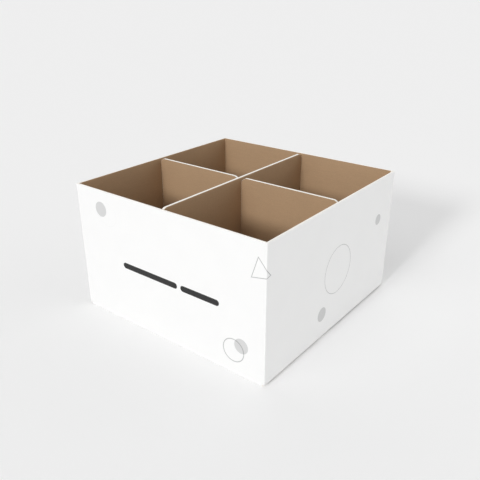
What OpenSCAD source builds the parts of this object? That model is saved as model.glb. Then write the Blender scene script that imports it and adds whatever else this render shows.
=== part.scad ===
// Open-top bottle carton: one folded sheet of board with a glued bottom, and a crossed pair of dividers.
// The origin is on the floor under the middle of the carton. The front faces -Y, and +Z is up. Millimetres.

/* [Carton] */
// Outside width, left to right
carton_w = 192; // [140:1:320]
// Outside depth, front to back
carton_d = 192; // [140:1:320]
// Outside height, floor to rim
carton_h = 113; // [70:0.1:300]
// Thickness of the carton's board
board = 1.5; // [1:0.1:3]
// Inside radius of every crease in the sheet
crease_r = 0.4; // [0.2:0.1:1]
// Outside radius of every crease, which the creasing tool squeezes tight
fold_r = 0.6; // [0.4:0.1:1.4]

/* [Bottom flaps] */
// Glue between two layers of board
glue_line = 0.15; // [0.05:0.05:0.4]
// Room that the slots leave between a flap and the crease beside it
slot_ease = 0.3; // [0.2:0.1:2]
// Seam between two flaps that meet under the middle
seam = 0.8; // [0.2:0.1:0.9]
// Corner radius at the free end of a flap
flap_corner_r = 3; // [1:0.5:8]

/* [Glue joint] */
// Length of the glue flap, along the wall that it is glued to
lap = 28; // [15:1:45]
// Height that the glue flap loses above and below, towards its free end
lap_taper = 8; // [2:1:25]
// How far the glue flap starts below the rim
lap_drop = 1.5; // [0.5:0.5:6]
// How far the glued wall's cut end stays in from the back face
joint_step = 0.4; // [0:0.1:1.2]

/* [Dividers] */
// Thickness of the dividers' board
divider_board = 2; // [1:0.1:3]
// Room between the end of a divider and the wall
end_room = 0.3; // [0.1:0.1:2]
// How far the dividers stay below the rim
rim_drop = 0; // [0:0.1:10]
// Corner radius of a divider
divider_corner_r = 5; // [2:0.5:15]
// Room on each side of a divider in the slot of the other one
slot_room = 0.15; // [0.05:0.05:0.5]
// How far each slot is cut past half of the height
slot_past = 0.5; // [0.2:0.1:3]
// Radius of the flare at the mouth of a slot
mouth_r = 6; // [2:0.5:12]

/* [Hidden] */
$fn = 48;

// How far a cutting shape reaches past the edge that it cuts
cut_past = 1;
// Width of a crease, from the outside of one wall to where the next one runs flat
crease_w = crease_r + board;
// Underside of the inner flaps, which lie glued on the outer ones
inner_flap_z = board + glue_line;
// Top of the inner flaps, where the dividers stand
floor_z = inner_flap_z + board;
// Lower end of the straight part of the side walls
side_foot_z = inner_flap_z + crease_w;
// Distance of a flap's side edges from the outside corners
flap_inset = crease_w + slot_ease;
// Distance of the glue flap from the outside of the wall that it is glued to
lap_inset = board + glue_line;
// Lower end of the glue flap, clear of the flap below it
lap_foot_z = floor_z + slot_ease;
// Reach of the flaps from their own wall: the inner ones are cut no deeper than the outer ones
outer_reach = (carton_d - seam) / 2;
inner_reach = (min(carton_w, carton_d) - seam) / 2;
// Inside lengths of the dividers, and their height
divider_across_l = carton_w - 2 * board - 2 * end_room;
divider_along_l = carton_d - 2 * board - 2 * end_room;
divider_h = carton_h - rim_drop - floor_z;

// Section of a crease: a square of board, rounded inside at 0, 0 and outside at the far corner
module crease_section() {
    flat_l = crease_w - fold_r;
    difference() {
        square(crease_w);
        circle(crease_r);
        translate([flat_l, flat_l])
            difference() {
                square(fold_r + cut_past);
                circle(fold_r);
            }
    }
}

// The four upright walls, without their creases
module walls() {
    front_l = carton_w - 2 * crease_w;
    left_l = carton_d - 2 * crease_w;
    front_h = carton_h - crease_w;
    side_h = carton_h - side_foot_z;
    translate([-front_l / 2, -carton_d / 2, crease_w])
        cube([front_l, board, front_h]);
    translate([-front_l / 2, carton_d / 2 - board, crease_w])
        cube([front_l - lap_inset, board, front_h]);
    translate([-carton_w / 2, -left_l / 2, side_foot_z])
        cube([board, left_l, side_h]);
    translate([carton_w / 2 - board, -left_l / 2, side_foot_z])
        cube([board, left_l + crease_w - joint_step, side_h]);
}

// One upright crease, with the centre of its turn at x, y and its quarter turned by angle
module upright_crease(x, y, angle) {
    translate([x, y, crease_w])
        rotate(angle)
            linear_extrude(carton_h - crease_w) crease_section();
}

// The three plain upright creases, and the one that turns the glue flap in behind the right wall
module upright_creases() {
    x = carton_w / 2 - crease_w;
    y = carton_d / 2 - crease_w;
    upright_crease(-x, -y, 180);
    upright_crease(x, -y, 270);
    upright_crease(-x, y, 90);
    upright_crease(x - lap_inset, y, 0);
}

// The glue flap: a tapered strip on the inside of the right wall, at its back end
module glue_flap() {
    top_z = carton_h - lap_drop;
    translate([carton_w / 2 - lap_inset - board, carton_d / 2 - crease_w, 0])
        rotate([90, 0, 90])
            linear_extrude(board)
                polygon([
                    [0, lap_foot_z],
                    [0, top_z],
                    [-lap, top_z - lap_taper],
                    [-lap, lap_foot_z + lap_taper]
                ]);
}

// Outline of a flap's flat part: square at its crease, with round corners at its free end
module flap_outline(width, length) {
    square([width, length - flap_corner_r]);
    translate([flap_corner_r, 0])
        square([width - 2 * flap_corner_r, length]);
    for (x = [flap_corner_r, width - flap_corner_r])
        translate([x, length - flap_corner_r])
            circle(flap_corner_r);
}

// A bottom flap with its crease, from x0 to x1 along a wall whose outer face is at y = 0
module bottom_flap(x0, x1, reach) {
    width = x1 - x0;
    translate([x0, crease_w, crease_w])
        rotate([90, 0, 90])
            linear_extrude(width)
                rotate(180) crease_section();
    translate([x0, crease_w, 0])
        linear_extrude(board)
            flap_outline(width, reach - crease_w);
}

// Outer flaps on the front and back walls, and inner flaps on the side walls above them
module bottom_flaps() {
    x = carton_w / 2 - flap_inset;
    y = carton_d / 2 - flap_inset;
    translate([0, -carton_d / 2, 0])
        bottom_flap(-x, x, outer_reach);
    translate([0, carton_d / 2, 0])
        mirror([0, 1, 0])
            bottom_flap(-x, x - lap_inset, outer_reach);
    translate([carton_w / 2, 0, inner_flap_z])
        rotate(90)
            bottom_flap(-y, y, inner_reach);
    translate([-carton_w / 2, 0, inner_flap_z])
        rotate(-90)
            bottom_flap(-y, y, inner_reach);
}

// The carton: a single sheet, folded and glued
module carton() {
    color("white")
        union() {
            walls();
            upright_creases();
            glue_flap();
            bottom_flaps();
        }
}

// A rectangle with round corners, centred on x, with its lower edge at y = 0
module rounded_panel(width, height, r) {
    translate([-width / 2, r])
        square([width, height - 2 * r]);
    translate([r - width / 2, 0])
        square([width - 2 * r, height]);
    for (x = [r - width / 2, width / 2 - r])
        for (y = [r, height - r])
            translate([x, y])
                circle(r);
}

// What the flare takes off one side of a slot's mouth, from the corner at 0, 0
module slot_flare() {
    difference() {
        translate([-slot_room, -mouth_r])
            square([mouth_r + slot_room, mouth_r + cut_past]);
        translate([mouth_r, -mouth_r])
            circle(mouth_r);
    }
}

// Outline of a divider, with its slot open at the top edge
module divider_outline(length) {
    slot_w = divider_board + 2 * slot_room;
    slot_d = divider_h / 2 + slot_past;
    difference() {
        rounded_panel(length, divider_h, divider_corner_r);
        translate([-slot_w / 2, divider_h - slot_d])
            square([slot_w, slot_d + cut_past]);
        for (side = [0, 1])
            mirror([side, 0])
                translate([slot_w / 2, divider_h])
                    slot_flare();
    }
}

// A divider standing on z = 0 across the middle, from side to side
module divider(length) {
    rotate([90, 0, 0])
        linear_extrude(divider_board, center = true)
            divider_outline(length);
}

// The divider from the left wall to the right wall, with its slot open at the top
module divider_side_to_side() {
    color("burlywood")
        translate([0, 0, floor_z])
            divider(divider_across_l);
}

// The divider from the front wall to the back wall, turned over so that its slot is open at the bottom
module divider_front_to_back() {
    color("tan")
        translate([0, 0, floor_z + divider_h])
            rotate([180, 0, 90])
                divider(divider_along_l);
}

carton();
divider_front_to_back();
divider_side_to_side();
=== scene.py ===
import math

import bmesh
import bpy
from bpy.props import FloatProperty, FloatVectorProperty, PointerProperty
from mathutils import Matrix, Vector


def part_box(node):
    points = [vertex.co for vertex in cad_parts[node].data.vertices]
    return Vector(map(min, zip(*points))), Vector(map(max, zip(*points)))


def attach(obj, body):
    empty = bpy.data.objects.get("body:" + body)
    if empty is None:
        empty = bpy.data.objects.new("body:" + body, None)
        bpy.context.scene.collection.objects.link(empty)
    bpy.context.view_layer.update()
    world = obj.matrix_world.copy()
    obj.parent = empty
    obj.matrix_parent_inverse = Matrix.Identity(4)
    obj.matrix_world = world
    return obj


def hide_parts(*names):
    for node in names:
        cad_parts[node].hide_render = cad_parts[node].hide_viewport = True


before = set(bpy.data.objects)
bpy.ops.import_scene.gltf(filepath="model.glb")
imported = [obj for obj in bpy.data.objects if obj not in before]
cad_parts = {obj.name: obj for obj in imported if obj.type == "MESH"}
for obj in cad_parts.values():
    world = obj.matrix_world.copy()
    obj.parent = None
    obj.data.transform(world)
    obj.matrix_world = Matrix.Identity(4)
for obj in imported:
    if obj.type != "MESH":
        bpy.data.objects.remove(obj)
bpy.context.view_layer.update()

bl_info = {
    "name": "Bottle Carton with Dividers",
    "version": (1, 0, 0),
    "blender": (4, 5, 0),
    "location": "3D View > Sidebar > Bottle Carton",
    "description": "An open-top carton folded from one sheet of white-faced board, with crossed dividers",
    "category": "Object",
}

# What the frame says
BODY = "root"
CARTON_LOW, CARTON_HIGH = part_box("carton")
DIVIDER_LOW, DIVIDER_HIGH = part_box("divider_side_to_side")

# Steps in a crease's quarter turn, a round corner, a soft edge, a printed circle and a bar's end
CREASE_STEPS = 10
CORNER_STEPS = 8
EDGE_STEPS = 2
CIRCLE_STEPS = 128
BAR_STEPS = 12
# Length below which two places count as one, and the smaller one below which corners merge, in metres
NEAR = 0.00002
MERGED = 0.000001
# Angle between two faces above which their edge is a fold
FOLDED = math.radians(60)
# Angle below which two faces lie in one plane, and the one below which they are shaded as one
LEVEL = math.radians(0.5)
SMOOTH = math.radians(30)
# Slots of the sheet's finishes: its outside, its inside and its cut edges
OUTSIDE = 0
INSIDE = 1
SHEET_RIM = 2
# Slot of a divider's cut edges, beside that of its two faces
DIVIDER_RIM = 1
# Slot of the ink that a ring has over a disc, beside that of the rest of it
OVER_DISC = 1
# A face is level where this much of its normal points up or down
LEVEL_NORMAL = 0.7
# Heights below which a level face belongs to the outer flaps, and to the bottom as a whole, in metres
OUTER_FLAPS_Z = 0.0016
BOTTOM_Z = 0.05
# Distance from one flute of the board to the next, in metres
FLUTE_PITCH = 0.0034
# Range in which most of a noise's values lie
NOISE_RANGE = (0.3, 0.7)
# How far each printed film is sunk into the board, in metres
FILM_SUNK = 0.00002
# Share of a bar's height that rounds its corners, just under the half at which they would meet
BAR_ROUND = 0.499
# Width of the floor, and the nearest and the farthest that the camera sees, in metres
FLOOR_WIDTH = 60
CAMERA_NEAR = 0.01
CAMERA_FAR = 100
# Width of the camera's picture plane, in millimetres
SENSOR_WIDTH = 36
# Where the lamps stand, which changes nothing in the light of such far lamps
LAMP_PLACE = (0, 0, 1)

# Printed discs: name, wall, place along the wall, height and radius, in metres
DISCS = (
    ("printed_disc_front_upper", "front", -0.0674, 0.0970, 0.00635),
    ("printed_disc_front_lower", "front", 0.0750, 0.0262, 0.0062),
    ("printed_disc_right_lower", "right", -0.0188, 0.0230, 0.0061),
    ("printed_disc_right_upper", "right", 0.0705, 0.0755, 0.0048),
)
# Printed rings: name, wall, place along the wall, height, radius of the line's middle, line width, ink, and
# the ink that shows where the line runs over a disc
RINGS = (
    ("printed_ring_front_lower", "front", 0.0680, 0.0201, 0.0094, 0.00075, "line_ink", "line_ink_over"),
    ("printed_ring_front_upper", "front", -0.0594, 0.0939, 0.0098, 0.00060, "faint_ink", "grey_ink"),
    ("printed_ring_right", "right", 0.0029, 0.0546, 0.0205, 0.00045, "line_ink", "line_ink_over"),
)
# Plain bars: name, two ends along the front wall and height of the middle, in metres
BARS = (
    ("printed_bar_left", -0.0455, 0.0139, 0.0540),
    ("printed_bar_right", 0.0174, 0.0550, 0.0540),
)
# The triangle: place of its middle along the front wall, height, distance to a corner, turn and line width
TRIANGLE = (0.0910, 0.0916, 0.0105, math.radians(11.4), 0.00060)


class CartonSizes(bpy.types.PropertyGroup):
    """Sizes of the folded sheet"""

    width: FloatProperty(
        name="Width", description="Outside width, left to right",
        default=CARTON_HIGH.x - CARTON_LOW.x, min=0.1, precision=4, subtype="DISTANCE", unit="LENGTH")
    depth: FloatProperty(
        name="Depth", description="Outside depth, front to back",
        default=CARTON_HIGH.y - CARTON_LOW.y, min=0.1, precision=4, subtype="DISTANCE", unit="LENGTH")
    height: FloatProperty(
        name="Height", description="Outside height, floor to rim",
        default=CARTON_HIGH.z - CARTON_LOW.z, min=0.05, precision=4, subtype="DISTANCE", unit="LENGTH")
    board: FloatProperty(
        name="Board", description="Thickness of the carton's board",
        default=0.0015, min=0.0005, precision=5, subtype="DISTANCE", unit="LENGTH")
    crease_width: FloatProperty(
        name="Crease Width", description="From the outside of one wall to where the next one runs flat",
        default=0.0019, min=0.0005, precision=5, subtype="DISTANCE", unit="LENGTH")
    crease_outside: FloatProperty(
        name="Crease Outside", description="Outside radius of every crease",
        default=0.00035, min=0.0001, precision=5, subtype="DISTANCE", unit="LENGTH")
    crease_inside: FloatProperty(
        name="Crease Inside", description="Inside radius of every crease",
        default=0.0002, min=0.00005, precision=5, subtype="DISTANCE", unit="LENGTH")
    glue_line: FloatProperty(
        name="Glue Line", description="Glue between two layers of board",
        default=0.00015, min=0.0, precision=5, subtype="DISTANCE", unit="LENGTH")
    slot_ease: FloatProperty(
        name="Slot Ease", description="Room between a bottom flap and the upright crease beside it",
        default=0.0003, min=0.0, precision=5, subtype="DISTANCE", unit="LENGTH")
    seam: FloatProperty(
        name="Seam", description="Seam between two flaps that meet under the middle",
        default=0.0008, min=0.0, precision=5, subtype="DISTANCE", unit="LENGTH")
    flap_corner: FloatProperty(
        name="Flap Corner", description="Corner radius at the free end of a bottom flap",
        default=0.003, min=0.0, precision=4, subtype="DISTANCE", unit="LENGTH")
    lap: FloatProperty(
        name="Glue Flap", description="Length of the glue flap along the wall behind it",
        default=0.028, min=0.005, precision=4, subtype="DISTANCE", unit="LENGTH")
    lap_taper: FloatProperty(
        name="Glue Flap Taper", description="Height that the glue flap loses above and below",
        default=0.008, min=0.0, precision=4, subtype="DISTANCE", unit="LENGTH")
    lap_drop: FloatProperty(
        name="Glue Flap Drop", description="How far the glue flap starts below the rim",
        default=0.0015, min=0.0, precision=5, subtype="DISTANCE", unit="LENGTH")
    joint_step: FloatProperty(
        name="Joint Step", description="How far the glued wall's cut end stays in from the back face",
        default=0.0004, min=0.0, precision=5, subtype="DISTANCE", unit="LENGTH")
    print_room: FloatProperty(
        name="Print Room", description="How far the printed walls stay inside the frame's box",
        default=0.00004, min=0.0, precision=6, subtype="DISTANCE", unit="LENGTH")
    edge_round: FloatProperty(
        name="Edge Rounding", description="Width of the soft edge that the cutting die leaves",
        default=0.0001, min=0.0, precision=6, subtype="DISTANCE", unit="LENGTH")


class DividerSizes(bpy.types.PropertyGroup):
    """Sizes of the two dividers"""

    length: FloatProperty(
        name="Length", description="Length of a divider, wall to wall",
        default=DIVIDER_HIGH.x - DIVIDER_LOW.x, min=0.05, precision=4, subtype="DISTANCE", unit="LENGTH")
    foot: FloatProperty(
        name="Foot", description="Height of a divider's lower edge above the floor",
        default=DIVIDER_LOW.z, min=0.0, precision=5, subtype="DISTANCE", unit="LENGTH")
    height: FloatProperty(
        name="Height", description="Height of a divider",
        default=DIVIDER_HIGH.z - DIVIDER_LOW.z, min=0.03, precision=4, subtype="DISTANCE", unit="LENGTH")
    board: FloatProperty(
        name="Board", description="Thickness of the dividers' board",
        default=DIVIDER_HIGH.y - DIVIDER_LOW.y, min=0.0005, precision=5, subtype="DISTANCE", unit="LENGTH")
    corner: FloatProperty(
        name="Corner", description="Corner radius of a divider",
        default=0.005, min=0.0, precision=4, subtype="DISTANCE", unit="LENGTH")
    slot_room: FloatProperty(
        name="Slot Room", description="Room on each side of one divider in the slot of the other",
        default=0.00015, min=0.0, precision=5, subtype="DISTANCE", unit="LENGTH")
    slot_past: FloatProperty(
        name="Slot Past Middle", description="How far each slot is cut past half of the height",
        default=0.0005, min=0.0, precision=5, subtype="DISTANCE", unit="LENGTH")
    mouth: FloatProperty(
        name="Slot Mouth", description="Radius of the flare at the mouth of a slot",
        default=0.006, min=0.0, precision=4, subtype="DISTANCE", unit="LENGTH")


class BoardColours(bpy.types.PropertyGroup):
    """Colours of the board and the inks"""

    coat: FloatVectorProperty(
        name="White Coat", description="Outside of the carton",
        default=(0.860, 0.860, 0.856), size=3, min=0.0, max=1.0, subtype="COLOR")
    kraft: FloatVectorProperty(
        name="Kraft", description="Inside of the carton and both faces of the dividers",
        default=(0.455, 0.308, 0.186), size=3, min=0.0, max=1.0, subtype="COLOR")
    cut_edge: FloatVectorProperty(
        name="Cut Edge", description="Cut edges of the board",
        default=(0.990, 0.965, 0.910), size=3, min=0.0, max=1.0, subtype="COLOR")
    grey_ink: FloatVectorProperty(
        name="Grey Ink", description="Discs",
        default=(0.612, 0.612, 0.612), size=3, min=0.0, max=1.0, subtype="COLOR")
    line_ink: FloatVectorProperty(
        name="Line Ink", description="Lines of the rings and the triangle",
        default=(0.480, 0.480, 0.480), size=3, min=0.0, max=1.0, subtype="COLOR")
    line_ink_over: FloatVectorProperty(
        name="Line Ink Over", description="A line that runs over a disc",
        default=(0.330, 0.330, 0.330), size=3, min=0.0, max=1.0, subtype="COLOR")
    faint_ink: FloatVectorProperty(
        name="Faint Ink", description="The palest ring",
        default=(0.842, 0.842, 0.842), size=3, min=0.0, max=1.0, subtype="COLOR")
    dark_ink: FloatVectorProperty(
        name="Dark Ink", description="The plain bars",
        default=(0.022, 0.022, 0.022), size=3, min=0.0, max=1.0, subtype="COLOR")


class PrintSizes(bpy.types.PropertyGroup):
    """Sizes of the printed figures"""

    film: FloatProperty(
        name="Film", description="How far a printed film stands proud of the board",
        default=0.00002, min=0.000005, precision=6, subtype="DISTANCE", unit="LENGTH")
    bar_height: FloatProperty(
        name="Bar Height", description="Height of the plain bars",
        default=0.005, min=0.001, precision=4, subtype="DISTANCE", unit="LENGTH")


class StudioSettings(bpy.types.PropertyGroup):
    """Light, floor and camera"""

    floor_colour: FloatVectorProperty(
        name="Floor", description="Colour of the floor as the camera sees it",
        default=(0.952, 0.952, 0.952), size=3, min=0.0, max=1.0, subtype="COLOR")
    floor_bounce: FloatVectorProperty(
        name="Floor Bounce", description="Colour of the light that the floor throws back on the carton",
        default=(0.85, 0.85, 0.85), size=3, min=0.0, max=1.0, subtype="COLOR")
    backdrop: FloatProperty(
        name="Backdrop", description="Brightness of the backdrop behind the floor, where 1 is white",
        default=0.863, min=0.0, max=1.0)
    sky: FloatProperty(
        name="Sky", description="Brightness of the sky at the horizon",
        default=0.225, min=0.0)
    sky_overhead: FloatProperty(
        name="Sky Overhead", description="Brightness of the sky overhead",
        default=0.17, min=0.0)
    sky_beside: FloatProperty(
        name="Sky Beside", description="Further brightness that the sky gains towards both sides",
        default=0.488, min=0.0)
    sky_behind: FloatProperty(
        name="Sky Behind", description="Further brightness that the sky gains towards the back",
        default=0.905, min=0.0)
    front_lamp: FloatProperty(
        name="Front Lamp", description="Strength of the low lamp in front",
        default=1.437, min=0.0)
    front_lamp_rise: FloatProperty(
        name="Front Lamp Rise", description="Angle of the front lamp above the floor",
        default=math.radians(22), subtype="ANGLE", unit="ROTATION")
    front_lamp_spread: FloatProperty(
        name="Front Lamp Spread", description="Apparent width of the front lamp",
        default=math.radians(10), subtype="ANGLE", unit="ROTATION")
    high_lamp: FloatProperty(
        name="High Lamp", description="Strength of the high lamp in front",
        default=0.602, min=0.0)
    high_lamp_rise: FloatProperty(
        name="High Lamp Rise", description="Angle of the high lamp above the floor",
        default=math.radians(48), subtype="ANGLE", unit="ROTATION")
    high_lamp_turn: FloatProperty(
        name="High Lamp Turn", description="Angle of the high lamp from the front towards the right",
        default=math.radians(-7), subtype="ANGLE", unit="ROTATION")
    high_lamp_spread: FloatProperty(
        name="High Lamp Spread", description="Apparent width of the high lamp",
        default=math.radians(42), subtype="ANGLE", unit="ROTATION")
    side_lamp: FloatProperty(
        name="Side Lamp", description="Strength of the level fill on the outside of the right wall",
        default=0.385, min=0.0)
    side_lamp_rise: FloatProperty(
        name="Side Lamp Rise", description="Angle of the side lamp above the floor",
        default=math.radians(0.6), subtype="ANGLE", unit="ROTATION")
    side_lamp_spread: FloatProperty(
        name="Side Lamp Spread", description="Apparent width of the side lamp",
        default=math.radians(1), subtype="ANGLE", unit="ROTATION")
    camera_place: FloatVectorProperty(
        name="Camera", description="Place of the camera",
        default=(0.28037, -0.36060, 0.26088), size=3, subtype="TRANSLATION", unit="LENGTH")
    camera_turn: FloatProperty(
        name="Camera Turn", description="Angle of the camera round the carton, towards its right",
        default=math.radians(37.94), subtype="ANGLE", unit="ROTATION")
    camera_rise: FloatProperty(
        name="Camera Rise", description="Angle that the camera looks down",
        default=math.radians(24.32), subtype="ANGLE", unit="ROTATION")
    camera_lens: FloatProperty(
        name="Lens", description="Focal length in millimetres",
        default=42.315, min=10.0, subtype="DISTANCE_CAMERA")


# Tools for modelling

def deselect_all():
    """Leaves nothing selected, because a new file's parts come in selected."""
    bpy.ops.object.select_all(action="DESELECT")


def start_plane(name, width, height, centre, turn):
    """Adds an upright or level rectangle at its size and place, with its object at the origin."""
    deselect_all()
    bpy.ops.mesh.primitive_plane_add(size=1, location=centre, rotation=turn)
    piece = bpy.context.object
    piece.name = name
    piece.data.name = name
    piece.scale = (width, height, 1)
    bpy.ops.object.transform_apply(location=True, rotation=True, scale=True)
    return piece


def start_circle(name, radius, corners, centre, turn):
    """Adds a filled circle or polygon at its size and place, with its object at the origin."""
    deselect_all()
    bpy.ops.mesh.primitive_circle_add(
        vertices=corners, radius=radius, fill_type="NGON", location=centre, rotation=turn)
    piece = bpy.context.object
    piece.name = name
    piece.data.name = name
    bpy.ops.object.transform_apply(location=True, rotation=True, scale=True)
    return piece


def open_mesh(piece):
    """Makes one piece the active and only selected one, and opens it in edit mode."""
    deselect_all()
    piece.select_set(True)
    bpy.context.view_layer.objects.active = piece
    bpy.ops.object.mode_set(mode="EDIT")


def close_mesh():
    """Goes back to object mode."""
    bpy.ops.object.mode_set(mode="OBJECT")


def pick(piece, kind, test):
    """Selects only the vertices, edges or faces whose every corner passes the test."""
    bpy.ops.mesh.select_mode(type=kind)
    bpy.ops.mesh.select_all(action="DESELECT")
    mesh = bmesh.from_edit_mesh(piece.data)
    parts = {"VERT": mesh.verts, "EDGE": mesh.edges, "FACE": mesh.faces}[kind]
    found = False
    for part in parts:
        corners = [part] if kind == "VERT" else part.verts
        if all(test(corner.co) for corner in corners):
            part.select_set(True)
            found = True
    mesh.select_flush_mode()
    bmesh.update_edit_mesh(piece.data)
    if not found:
        raise RuntimeError(f"nothing of {piece.name} passed the test, so it can't be shaped")


def near(value, place):
    """Says whether two places count as one."""
    return abs(value - place) < NEAR


def draw_out(*moves):
    """Draws the selected edges or faces out by one move after another."""
    for move in moves:
        bpy.ops.mesh.extrude_region_move(TRANSFORM_OT_translate={"value": move})


def slice_faces(place, direction):
    """Cuts the selected faces by a plane."""
    bpy.ops.mesh.bisect(plane_co=place, plane_no=Vector(direction).normalized(), threshold=NEAR)


def trim_faces(piece, test, place, direction):
    """Cuts the faces that pass a test by a plane, and drops what lies beyond it."""
    pick(piece, "FACE", test)
    slice_faces(place, direction)
    edge = Vector(place)
    beyond = Vector(direction).normalized()
    pick(piece, "FACE", lambda p: test(p) and (p - edge).dot(beyond) > -NEAR)
    bpy.ops.mesh.delete(type="FACE")


def merge_and_face(piece, sample_test, outwards):
    """Merges doubled corners and makes all faces point the way that one known face should."""
    bpy.ops.mesh.select_mode(type="VERT")
    bpy.ops.mesh.select_all(action="SELECT")
    bpy.ops.mesh.remove_doubles(threshold=MERGED)
    bpy.ops.mesh.normals_make_consistent(inside=False)
    mesh = bmesh.from_edit_mesh(piece.data)
    mesh.normal_update()
    sample = [f for f in mesh.faces if all(sample_test(v.co) for v in f.verts)]
    if not sample:
        raise RuntimeError(f"{piece.name} has no face to tell its outside by")
    if sample[0].normal.dot(Vector(outwards)) < 0:
        bpy.ops.mesh.flip_normals()


def thicken(piece, thickness, back=0, rim=0):
    """Gives an open sheet its thickness behind its faces, with slots for its back and its rim."""
    bpy.context.view_layer.objects.active = piece
    board = piece.modifiers.new("board", "SOLIDIFY")
    board.thickness = thickness
    board.offset = -1
    board.use_even_offset = True
    board.use_rim = True
    board.material_offset = back
    board.material_offset_rim = rim
    bpy.ops.object.modifier_apply(modifier=board.name)


def join_level_faces(piece):
    """Joins the faces of one finish that lie in one plane, so that bevels run clean along their edges."""
    open_mesh(piece)
    bpy.ops.mesh.select_all(action="SELECT")
    bpy.ops.mesh.dissolve_limited(angle_limit=LEVEL, delimit={"MATERIAL"})
    close_mesh()


def bevel_edges(piece, test, width, steps, slot=-1):
    """Bevels the edges that pass the test, with a slot's finish or by default their neighbours'."""
    open_mesh(piece)
    bpy.ops.mesh.select_mode(type="EDGE")
    bpy.ops.mesh.select_all(action="DESELECT")
    mesh = bmesh.from_edit_mesh(piece.data)
    found = [edge for edge in mesh.edges if len(edge.link_faces) == 2 and test(edge)]
    if not found:
        raise RuntimeError(f"{piece.name} has no such edge to bevel")
    for edge in found:
        edge.select_set(True)
    mesh.select_flush_mode()
    bmesh.update_edit_mesh(piece.data)
    bpy.ops.mesh.bevel(offset=width, segments=steps, affect="EDGES", clamp_overlap=False, material=slot)
    close_mesh()


def round_corners(piece, radius, steps, test):
    """Rounds the corners of a flat figure that pass the test."""
    pick(piece, "VERT", test)
    bpy.ops.mesh.bevel(offset=radius, segments=steps, affect="VERTICES", clamp_overlap=False)


def round_creases(piece, slot, radius):
    """Rounds the folds on one side of the board, which that slot's finish tells."""
    def is_fold(edge):
        one_side = all(face.material_index == slot for face in edge.link_faces)
        return one_side and edge.calc_face_angle() > FOLDED
    bevel_edges(piece, is_fold, radius, CREASE_STEPS)


def soften_cut_edges(piece, rim, width):
    """Bevels the edges between the board's faces and its cut edges, which a slot's finish tells."""
    def is_rim(edge):
        slots = {face.material_index for face in edge.link_faces}
        return rim in slots and len(slots) == 2
    bevel_edges(piece, is_rim, width, EDGE_STEPS, rim)


def smooth(piece):
    """Shades the round creases and corners smooth, and keeps the flat faces flat."""
    deselect_all()
    piece.select_set(True)
    bpy.context.view_layer.objects.active = piece
    bpy.ops.object.shade_smooth_by_angle(angle=SMOOTH)
    normals = piece.modifiers.new("flat faces lead", "WEIGHTED_NORMAL")
    normals.keep_sharp = True
    bpy.ops.object.modifier_apply(modifier=normals.name)


def lay_board_map(piece):
    """Gives the piece a map in metres: across the flutes, which is along a wall, and along the flutes."""
    mesh = piece.data
    layer = mesh.uv_layers.active or mesh.uv_layers.new(name="board")
    layer.name = "board"
    for face in mesh.polygons:
        normal = face.normal
        centre = face.center
        level = abs(normal.z) > LEVEL_NORMAL
        for corner in face.loop_indices:
            place = mesh.vertices[mesh.loops[corner].vertex_index].co
            if level and centre.z < OUTER_FLAPS_Z:
                spot = (place.x, place.y)
            elif level and centre.z < BOTTOM_Z:
                spot = (place.y, place.x)
            elif level:
                spot = (place.x, place.z) if abs(centre.y) > abs(centre.x) else (place.y, place.z)
            elif abs(normal.x) > abs(normal.y):
                spot = (place.y, place.z)
            else:
                spot = (place.x, place.z)
            layer.data[corner].uv = spot


# Materials

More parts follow.
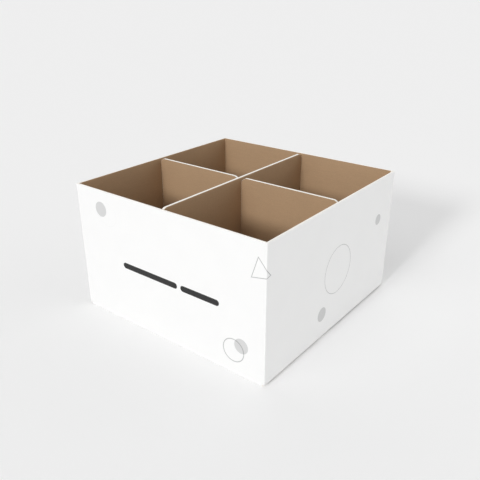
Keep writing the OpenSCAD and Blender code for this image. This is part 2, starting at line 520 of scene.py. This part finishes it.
class Recipe:
    """A new material with short ways to add and join its nodes."""

    def __init__(self, name, roughness, specular):
        self.material = bpy.data.materials.new(name)
        self.material.use_nodes = True
        self.nodes = self.material.node_tree.nodes
        self.links = self.material.node_tree.links
        self.shader = self.nodes["Principled BSDF"]
        self.shader.inputs["Roughness"].default_value = roughness
        self.shader.inputs["Specular IOR Level"].default_value = specular

    def add(self, kind, **settings):
        """Adds a node and sets its own options."""
        node = self.nodes.new(kind)
        for key, value in settings.items():
            setattr(node, key, value)
        return node

    def join(self, source, target):
        """Joins an output to an input."""
        self.links.new(source, target)

    def places(self, stretch=(1, 1, 1)):
        """The piece's own places in metres, stretched."""
        source = self.add("ShaderNodeTexCoord")
        mapping = self.add("ShaderNodeMapping")
        mapping.inputs["Scale"].default_value = stretch
        self.join(source.outputs["Object"], mapping.inputs["Vector"])
        return mapping.outputs["Vector"]

    def noise(self, scale, detail=3, stretch=(1, 1, 1), roughness=0.5):
        """Soft noise with so many waves to a metre."""
        node = self.add("ShaderNodeTexNoise")
        node.inputs["Scale"].default_value = scale
        node.inputs["Detail"].default_value = detail
        node.inputs["Roughness"].default_value = roughness
        self.join(self.places(stretch), node.inputs["Vector"])
        return node.outputs["Fac"]

    def spread(self, value, low, high, to_low, to_high):
        """Maps a value from one range to another, clamped."""
        node = self.add("ShaderNodeMapRange")
        node.inputs["From Min"].default_value = low
        node.inputs["From Max"].default_value = high
        node.inputs["To Min"].default_value = to_low
        node.inputs["To Max"].default_value = to_high
        self.join(value, node.inputs["Value"])
        return node.outputs["Result"]

    def vary(self, value, share):
        """Turns a noise into a factor that goes below and above 1 by a share."""
        return self.spread(value, *NOISE_RANGE, 1 - share, 1 + share)

    def times(self, *values):
        """Multiplies values."""
        product = values[0]
        for value in values[1:]:
            node = self.add("ShaderNodeMath", operation="MULTIPLY")
            self.join(product, node.inputs[0])
            self.join(value, node.inputs[1])
            product = node.outputs["Value"]
        return product

    def flutes(self):
        """A wave across the flutes of the board, from -1 to 1."""
        source = self.add("ShaderNodeUVMap", uv_map="board")
        split = self.add("ShaderNodeSeparateXYZ")
        self.join(source.outputs["UV"], split.inputs["Vector"])
        turns = self.add("ShaderNodeMath", operation="MULTIPLY")
        turns.inputs[1].default_value = 2 * math.pi / FLUTE_PITCH
        self.join(split.outputs["X"], turns.inputs[0])
        wave = self.add("ShaderNodeMath", operation="SINE")
        self.join(turns.outputs["Value"], wave.inputs[0])
        return wave.outputs["Value"]

    def tint(self, colour, factor):
        """Colours the surface, with a factor that varies over it."""
        node = self.add("ShaderNodeVectorMath", operation="SCALE")
        node.inputs[0].default_value = colour
        self.join(factor, node.inputs["Scale"])
        self.join(node.outputs["Vector"], self.shader.inputs["Base Color"])

    def relief(self, heights):
        """Lays bumps over one another: pairs of a height from 0 to 1 and its size in metres."""
        previous = None
        for height, distance in heights:
            bump = self.add("ShaderNodeBump")
            bump.inputs["Strength"].default_value = 1.0
            bump.inputs["Distance"].default_value = distance
            self.join(height, bump.inputs["Height"])
            if previous is not None:
                self.join(previous.outputs["Normal"], bump.inputs["Normal"])
            previous = bump
        self.join(previous.outputs["Normal"], self.shader.inputs["Normal"])

    def tooth(self):
        """The coat's relief: its fine tooth, and the flutes faintly behind it."""
        self.relief([(self.flutes(), 0.000003), (self.noise(2200, 2), 0.000004)])


def make_white_coat(colours):
    """White clay coat: almost even, with a fine tooth and the flutes faintly behind it."""
    recipe = Recipe("white_coat", roughness=0.52, specular=0.35)
    cloud = recipe.vary(recipe.noise(45, 3), 0.006)
    grain = recipe.vary(recipe.noise(1500, 2), 0.005)
    recipe.tint(colours.coat, recipe.times(cloud, grain))
    recipe.tooth()
    return recipe.material


def make_kraft(colours):
    """Brown kraft liner: soft blotches, faint fibres along the wall, fine grain, darker and paler specks."""
    recipe = Recipe("kraft_liner", roughness=0.86, specular=0.22)
    blotch = recipe.vary(recipe.noise(28, 3), 0.03)
    fibre = recipe.vary(recipe.noise(1, 4, (90, 90, 1300), 0.6), 0.025)
    grain = recipe.vary(recipe.noise(1700, 3), 0.04)
    dark_specks = recipe.spread(recipe.noise(900, 1, (1, 1, 2.2)), 0.68, 0.74, 1.0, 0.80)
    pale_specks = recipe.spread(recipe.noise(780, 1, (1, 1, 2.6)), 0.25, 0.31, 1.14, 1.0)
    recipe.tint(colours.kraft, recipe.times(blotch, fibre, grain, dark_specks, pale_specks))
    recipe.relief([
        (recipe.flutes(), 0.000006),
        (recipe.noise(1, 3, (150, 150, 1500)), 0.00001),
        (recipe.noise(2400, 2), 0.00001),
    ])
    return recipe.material


def make_cut_edge(colours):
    """Cut edge: pale, with a low sheen, fine streaks and the flutes just showing."""
    recipe = Recipe("cut_edge", roughness=0.5, specular=0.6)
    streaks = recipe.spread(recipe.noise(1600, 2), *NOISE_RANGE, 0.975, 1.02)
    rhythm = recipe.spread(recipe.flutes(), -1, 1, 0.985, 1.0)
    recipe.tint(colours.cut_edge, recipe.times(streaks, rhythm))
    recipe.relief([(recipe.noise(2600, 2), 0.00002)])
    return recipe.material


def make_ink(name, colour):
    """Flat matt ink that takes the coat's fine tooth."""
    recipe = Recipe(name, roughness=0.56, specular=0.3)
    recipe.tint(colour, recipe.vary(recipe.noise(1500, 2), 0.015))
    recipe.tooth()
    return recipe.material


def finish(name):
    """The finish of that name, made the first time that it is asked for."""
    made = bpy.data.materials.get(name)
    if made is not None:
        return made
    colours = bpy.context.scene.board_colours
    if name == "white_coat":
        return make_white_coat(colours)
    if name == "kraft_liner":
        return make_kraft(colours)
    if name == "cut_edge":
        return make_cut_edge(colours)
    return make_ink(name, getattr(colours, name))


def shown(nodes, links):
    """A factor of 1 for what the camera sees, also in metal or through glass, and of 0 for the light."""
    path = nodes.new("ShaderNodeLightPath")
    factor = path.outputs["Is Camera Ray"]
    for ray in ("Is Glossy Ray", "Is Transmission Ray"):
        either = nodes.new("ShaderNodeMath")
        either.operation = "MAXIMUM"
        links.new(factor, either.inputs[0])
        links.new(path.outputs[ray], either.inputs[1])
        factor = either.outputs["Value"]
    return factor


def dress(piece, slot, *names):
    """Gives the piece its finishes and lets it ride with the carton."""
    for name in names:
        piece.data.materials.append(finish(name))
    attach(piece, BODY)


# Pieces

class CARTON_OT_fold_sheet(bpy.types.Operator):
    """Fold the carton from one sheet of board"""

    bl_idname = "carton.fold_sheet"
    bl_label = "Fold the Sheet"
    bl_options = {"REGISTER", "UNDO"}

    def execute(self, context):
        s = context.scene.carton_sizes
        half_w = s.width / 2 - s.print_room
        half_d = s.depth / 2 - s.print_room
        crease = s.crease_width
        x = half_w - crease
        y = half_d - crease
        top = s.height
        inner_z = s.board + s.glue_line
        side_foot = inner_z + crease
        lap_inset = s.board + s.glue_line
        flap_x = x - s.slot_ease
        flap_y = y - s.slot_ease

        sheet = start_plane(
            "carton_sheet", 2 * x, top - crease, (0, -half_d, (top + crease) / 2), wall_turn("front"))
        open_mesh(sheet)

        # The right wall, round its crease and up to its cut end
        pick(sheet, "EDGE", lambda p: near(p.x, x))
        draw_out((crease, 0, 0), (0, crease, 0), (0, y + half_d - s.joint_step, 0))

        # The left wall, the back wall and the glue flap
        pick(sheet, "EDGE", lambda p: near(p.x, -x) and near(p.y, -half_d))
        draw_out((-crease, 0, 0), (0, crease, 0), (0, 2 * y, 0), (0, crease, 0), (crease, 0, 0))
        draw_out((2 * x - lap_inset, 0, 0), (crease, 0, 0), (0, -crease, 0), (0, -s.lap, 0))

        # The glue flap is tapered above and below
        lap_x = half_w - lap_inset
        lap_top = top - s.lap_drop
        lap_foot = inner_z + s.board + s.slot_ease
        for start_z, slope in ((lap_top, 1), (lap_foot, -1)):
            trim_faces(
                sheet, lambda p: near(p.x, lap_x) and p.y < y + NEAR,
                (lap_x, y, start_z), (0, -s.lap_taper, slope * s.lap))

        # The side walls start higher, because their flaps lie on the outer ones
        foot = (0, 0, side_foot)
        trim_faces(sheet, lambda p: near(p.x, half_w) and p.y > -y - NEAR, foot, (0, 0, -1))
        trim_faces(sheet, lambda p: near(p.x, -half_w) and abs(p.y) < y + NEAR, foot, (0, 0, -1))

        # Lines where the slots between the flaps begin
        for side in (-1, 1):
            pick(sheet, "FACE", lambda p: near(p.y, -half_d))
            slice_faces((side * flap_x, 0, 0), (1, 0, 0))
            for end in (-1, 1):
                pick(sheet, "FACE", lambda p: near(p.x, side * half_w))
                slice_faces((0, end * flap_y, 0), (0, 1, 0))
        back_right = flap_x - lap_inset
        for place in (-flap_x, back_right):
            pick(sheet, "FACE", lambda p: near(p.y, half_d))
            slice_faces((place, 0, 0), (1, 0, 0))

        # The bottom flaps: the two outer ones, and the two inner ones above them
        middle = s.seam / 2
        pick(sheet, "EDGE", lambda p: near(p.y, -half_d) and near(p.z, crease)
             and abs(p.x) < flap_x + NEAR)
        draw_out((0, 0, -crease), (0, half_d - middle, 0))
        pick(sheet, "EDGE", lambda p: near(p.y, half_d) and near(p.z, crease)
             and -flap_x - NEAR < p.x < back_right + NEAR)
        draw_out((0, 0, -crease), (0, middle - half_d, 0))
        for side in (-1, 1):
            pick(sheet, "EDGE", lambda p: near(p.x, side * half_w) and near(p.z, side_foot)
                 and abs(p.y) < flap_y + NEAR)
            draw_out((0, 0, -crease), (side * (middle - half_w), 0, 0))

        # Round corners at the free ends of the flaps
        merge_and_face(sheet, lambda p: near(p.y, -half_d), (0, -1, 0))
        round_corners(sheet, s.flap_corner, CORNER_STEPS, lambda p: p.z < inner_z + NEAR
                      and near(abs(p.y), middle) and abs(p.x) > back_right - NEAR)
        round_corners(sheet, s.flap_corner, CORNER_STEPS, lambda p: near(p.z, inner_z)
                      and near(abs(p.x), middle) and abs(p.y) > flap_y - NEAR)
        close_mesh()

        dress(sheet, "coated_board", "white_coat", "kraft_liner", "cut_edge")
        thicken(sheet, s.board, back=INSIDE, rim=SHEET_RIM)
        join_level_faces(sheet)
        round_creases(sheet, OUTSIDE, s.crease_outside)
        round_creases(sheet, INSIDE, s.crease_inside)
        soften_cut_edges(sheet, SHEET_RIM, s.edge_round)
        lay_board_map(sheet)
        smooth(sheet)
        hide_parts("carton")
        return {"FINISHED"}


class CARTON_OT_cut_dividers(bpy.types.Operator):
    """Cut the two dividers and lap them over each other"""

    bl_idname = "carton.cut_dividers"
    bl_label = "Cut the Dividers"
    bl_options = {"REGISTER", "UNDO"}

    def execute(self, context):
        s = context.scene.divider_sizes
        half_l = s.length / 2
        top = s.foot + s.height
        middle_z = s.foot + s.height / 2
        slot_x = s.board / 2 + s.slot_room
        slot_z = top - s.height / 2 - s.slot_past
        face_y = -s.board / 2

        across = start_plane(
            "divider_panel_side_to_side", s.length, s.height, (0, face_y, middle_z), wall_turn("front"))
        open_mesh(across)
        for side in (-1, 1):
            bpy.ops.mesh.select_all(action="SELECT")
            slice_faces((side * slot_x, 0, 0), (1, 0, 0))
        trim_faces(across, lambda p: abs(p.x) < slot_x + NEAR, (0, 0, slot_z), (0, 0, 1))
        round_corners(across, s.corner, CORNER_STEPS, lambda p: near(abs(p.x), half_l))
        round_corners(across, s.mouth, CORNER_STEPS, lambda p: near(abs(p.x), slot_x) and near(p.z, top))
        merge_and_face(across, lambda p: True, (0, -1, 0))
        close_mesh()

        across.data.materials.append(finish("kraft_liner"))
        across.data.materials.append(finish("cut_edge"))
        thicken(across, s.board, rim=DIVIDER_RIM)
        join_level_faces(across)
        soften_cut_edges(across, DIVIDER_RIM, context.scene.carton_sizes.edge_round)

        # The other one is a copy, turned over and across
        deselect_all()
        across.select_set(True)
        context.view_layer.objects.active = across
        bpy.ops.object.duplicate(linked=False)
        along = context.object
        along.name = "divider_panel_front_to_back"
        along.data.name = along.name
        open_mesh(along)
        bpy.ops.mesh.select_all(action="SELECT")
        bpy.ops.transform.rotate(value=math.pi, orient_axis="X", center_override=(0, 0, middle_z))
        bpy.ops.transform.rotate(value=math.pi / 2, orient_axis="Z", center_override=(0, 0, middle_z))
        close_mesh()

        for piece, node in ((across, "divider_side_to_side"), (along, "divider_front_to_back")):
            lay_board_map(piece)
            smooth(piece)
            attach(piece, BODY)
            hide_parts(node)
        return {"FINISHED"}


def wall_place(wall, along, height, out):
    """A place on the front or the right wall, a little in front of it."""
    s = bpy.context.scene.carton_sizes
    if wall == "front":
        return Vector((along, -(s.depth / 2 - s.print_room) - out, height))
    return Vector((s.width / 2 - s.print_room + out, along, height))


def wall_turn(wall):
    """The turn that stands a level figure up on a wall, facing out."""
    return (math.pi / 2, 0, 0 if wall == "front" else math.pi / 2)


def finish_film(piece, film, *inks):
    """Gives a flat printed figure its thickness and its inks."""
    thicken(piece, film + FILM_SUNK)
    lay_board_map(piece)
    dress(piece, "coated_board", *inks)
    smooth(piece)


def cut_line_figure(piece, line):
    """Turns a filled figure into a line of one width along its edge."""
    open_mesh(piece)
    bpy.ops.mesh.select_mode(type="FACE")
    bpy.ops.mesh.select_all(action="SELECT")
    bpy.ops.mesh.inset(thickness=line, depth=0)
    bpy.ops.mesh.delete(type="FACE")
    close_mesh()


class CARTON_OT_print_discs_and_rings(bpy.types.Operator):
    """Print the discs and rings on the front and right walls"""

    bl_idname = "carton.print_discs_and_rings"
    bl_label = "Print the Discs and Rings"
    bl_options = {"REGISTER", "UNDO"}

    def execute(self, context):
        film = context.scene.print_sizes.film
        for name, wall, along, height, radius in DISCS:
            disc = start_circle(
                name, radius, CIRCLE_STEPS, wall_place(wall, along, height, film / 2), wall_turn(wall))
            finish_film(disc, film / 2, "grey_ink")
        for name, wall, along, height, radius, line, ink, ink_over in RINGS:
            ring = start_circle(
                name, radius + line / 2, CIRCLE_STEPS, wall_place(wall, along, height, film),
                wall_turn(wall))
            cut_line_figure(ring, line)
            finish_film(ring, film, ink, ink_over)
            self.mark_overlap(ring, wall)
        return {"FINISHED"}

    def mark_overlap(self, ring, wall):
        """Gives the part of a ring that lies over a disc its second ink."""
        for face in ring.data.polygons:
            for _, disc_wall, along, height, radius in DISCS:
                if disc_wall != wall:
                    continue
                offset = face.center - wall_place(wall, along, height, 0)
                flat = math.hypot(offset.x if wall == "front" else offset.y, offset.z)
                if flat < radius:
                    face.material_index = OVER_DISC


class CARTON_OT_print_triangle(bpy.types.Operator):
    """Print the triangle that runs round the crease between the front and the right wall"""

    bl_idname = "carton.print_triangle"
    bl_label = "Print the Triangle"
    bl_options = {"REGISTER", "UNDO"}

    def execute(self, context):
        film = context.scene.print_sizes.film
        s = context.scene.carton_sizes
        along, height, reach, turn, line = TRIANGLE
        triangle = start_circle(
            "printed_triangle", reach, 3, wall_place("front", along, height, film), wall_turn("front"))
        open_mesh(triangle)
        bpy.ops.mesh.select_all(action="SELECT")
        bpy.ops.transform.rotate(
            value=turn, orient_axis="Y", center_override=wall_place("front", along, height, film))
        close_mesh()
        cut_line_figure(triangle, line)

        # Cut lines across the crease, and a small fold at each of them, from the far one to the near one
        face = wall_place("front", along, height, film)
        step = math.pi / 2 / CREASE_STEPS
        first = s.width / 2 - s.print_room - s.crease_outside
        folds = [first + (s.crease_outside + film) * step * i for i in range(CREASE_STEPS + 1)]
        open_mesh(triangle)
        for fold in folds:
            bpy.ops.mesh.select_all(action="SELECT")
            slice_faces((fold, 0, 0), (1, 0, 0))
        for fold in reversed(folds):
            bend = step / 2 if fold in (folds[0], folds[-1]) else step
            pick(triangle, "VERT", lambda p: p.x > fold + NEAR)
            bpy.ops.transform.rotate(value=-bend, orient_axis="Z", center_override=(fold, face.y, 0))
        close_mesh()
        finish_film(triangle, film, "line_ink")
        return {"FINISHED"}


class CARTON_OT_print_bars(bpy.types.Operator):
    """Print the two plain bars on the front wall"""

    bl_idname = "carton.print_bars"
    bl_label = "Print the Bars"
    bl_options = {"REGISTER", "UNDO"}

    def execute(self, context):
        s = context.scene.print_sizes
        for name, start, end, height in BARS:
            bar = start_plane(
                name, end - start, s.bar_height, wall_place("front", (start + end) / 2, height, s.film),
                wall_turn("front"))
            open_mesh(bar)
            round_corners(bar, s.bar_height * BAR_ROUND, BAR_STEPS, lambda p: True)
            close_mesh()
            finish_film(bar, s.film, "dark_ink")
        return {"FINISHED"}


class CARTON_OT_set_studio(bpy.types.Operator):
    """Set the floor, the light and the camera"""

    bl_idname = "carton.set_studio"
    bl_label = "Set the Studio"
    bl_options = {"REGISTER", "UNDO"}

    def execute(self, context):
        s = context.scene.studio
        self.lay_floor(s)
        self.light_sky(context.scene, s)
        self.hang_lamp("front_lamp", s.front_lamp, s.front_lamp_spread, s.front_lamp_rise, 0)
        self.hang_lamp("high_lamp", s.high_lamp, s.high_lamp_spread, s.high_lamp_rise, s.high_lamp_turn)
        self.hang_lamp("side_lamp", s.side_lamp, s.side_lamp_spread, s.side_lamp_rise, math.pi / 2)
        deselect_all()
        bpy.ops.object.camera_add(
            location=s.camera_place, rotation=(math.pi / 2 - s.camera_rise, 0, s.camera_turn))
        camera = context.object
        camera.name = "photo_camera"
        camera.data.sensor_width = SENSOR_WIDTH
        camera.data.lens = s.camera_lens
        camera.data.clip_start = CAMERA_NEAR
        camera.data.clip_end = CAMERA_FAR
        context.scene.camera = camera
        context.scene.view_settings.view_transform = "Standard"
        return {"FINISHED"}

    def lay_floor(self, s):
        """Lays the pale floor under the carton."""
        floor = start_plane("studio_floor", FLOOR_WIDTH, FLOOR_WIDTH, (0, 0, 0), (0, 0, 0))
        recipe = Recipe("pale_floor", roughness=1.0, specular=0.0)
        colour = recipe.add("ShaderNodeMix", data_type="RGBA")
        colour.inputs["A"].default_value = (*s.floor_bounce, 1)
        colour.inputs["B"].default_value = (*s.floor_colour, 1)
        recipe.join(shown(recipe.nodes, recipe.links), colour.inputs["Factor"])
        recipe.join(colour.outputs["Result"], recipe.shader.inputs["Base Color"])
        floor.data.materials.append(recipe.material)

    def light_sky(self, scene, s):
        """Lights the scene from above and all sides, and shows the backdrop at its own brightness."""
        sky = bpy.data.worlds.new("studio_sky")
        sky.use_nodes = True
        nodes = sky.node_tree.nodes
        links = sky.node_tree.links
        light = nodes["Background"]
        light.inputs["Color"].default_value = (1, 1, 1, 1)
        place = nodes.new("ShaderNodeTexCoord")
        split = nodes.new("ShaderNodeSeparateXYZ")
        links.new(place.outputs["Generated"], split.inputs["Vector"])
        beside = nodes.new("ShaderNodeMath")
        beside.operation = "ABSOLUTE"
        links.new(split.outputs["X"], beside.inputs[0])
        strength = self.sky_part(nodes, links, split.outputs["Z"], s.sky, s.sky_overhead)
        for value, gain in ((beside.outputs["Value"], s.sky_beside), (split.outputs["Y"], s.sky_behind)):
            total = nodes.new("ShaderNodeMath")
            links.new(strength, total.inputs[0])
            links.new(self.sky_part(nodes, links, value, 0, gain), total.inputs[1])
            strength = total.outputs["Value"]
        links.new(strength, light.inputs["Strength"])
        seen = nodes.new("ShaderNodeBackground")
        seen.inputs["Color"].default_value = (1, 1, 1, 1)
        seen.inputs["Strength"].default_value = s.backdrop
        mix = nodes.new("ShaderNodeMixShader")
        links.new(shown(nodes, links), mix.inputs["Fac"])
        links.new(light.outputs["Background"], mix.inputs[1])
        links.new(seen.outputs["Background"], mix.inputs[2])
        links.new(mix.outputs["Shader"], nodes["World Output"].inputs["Surface"])
        scene.world = sky

    def sky_part(self, nodes, links, value, at_none, at_full):
        """A part of the sky's brightness, from where it points nowhere along an axis to fully along it."""
        part = nodes.new("ShaderNodeMapRange")
        part.inputs["To Min"].default_value = at_none
        part.inputs["To Max"].default_value = at_full
        links.new(value, part.inputs["Value"])
        return part.outputs["Result"]

    def hang_lamp(self, name, strength, spread, rise, turn):
        """Hangs a soft far lamp so high above the floor, turned from the front towards the right."""
        deselect_all()
        bpy.ops.object.light_add(type="SUN", location=LAMP_PLACE, rotation=(math.pi / 2 - rise, 0, turn))
        lamp = bpy.context.object
        lamp.name = name
        lamp.data.name = name
        lamp.data.energy = strength
        lamp.data.angle = spread


class VIEW3D_PT_bottle_carton(bpy.types.Panel):
    """Lists the carton's steps and sizes in the sidebar"""

    bl_label = "Bottle Carton"
    bl_idname = "VIEW3D_PT_bottle_carton"
    bl_space_type = "VIEW_3D"
    bl_region_type = "UI"
    bl_category = "Bottle Carton"

    def draw(self, context):
        layout = self.layout
        steps = layout.column(align=True)
        for step in STEPS:
            steps.operator(step.bl_idname)
        for name, heading, _ in GROUPS:
            group = getattr(context.scene, name)
            column = layout.column()
            column.label(text=heading)
            for key in group.bl_rna.properties.keys():
                if key not in ("rna_type", "name"):
                    column.prop(group, key)


STEPS = (
    CARTON_OT_fold_sheet,
    CARTON_OT_cut_dividers,
    CARTON_OT_print_discs_and_rings,
    CARTON_OT_print_triangle,
    CARTON_OT_print_bars,
    CARTON_OT_set_studio,
)
GROUPS = (
    ("carton_sizes", "Carton", CartonSizes),
    ("divider_sizes", "Dividers", DividerSizes),
    ("board_colours", "Colours", BoardColours),
    ("print_sizes", "Print", PrintSizes),
    ("studio", "Studio", StudioSettings),
)


def register():
    """Adds the classes and their settings."""
    for name, _, group in GROUPS:
        bpy.utils.register_class(group)
        setattr(bpy.types.Scene, name, PointerProperty(type=group))
    for step in STEPS:
        bpy.utils.register_class(step)
    bpy.utils.register_class(VIEW3D_PT_bottle_carton)


def unregister():
    """Takes the classes and their settings away again."""
    bpy.utils.unregister_class(VIEW3D_PT_bottle_carton)
    for step in reversed(STEPS):
        bpy.utils.unregister_class(step)
    for name, _, group in reversed(GROUPS):
        delattr(bpy.types.Scene, name)
        bpy.utils.unregister_class(group)


def main():
    """Makes the whole scene."""
    register()
    bpy.ops.carton.fold_sheet()
    bpy.ops.carton.cut_dividers()
    bpy.ops.carton.print_discs_and_rings()
    bpy.ops.carton.print_triangle()
    bpy.ops.carton.print_bars()
    bpy.ops.carton.set_studio()


if __name__ == "__main__":
    main()
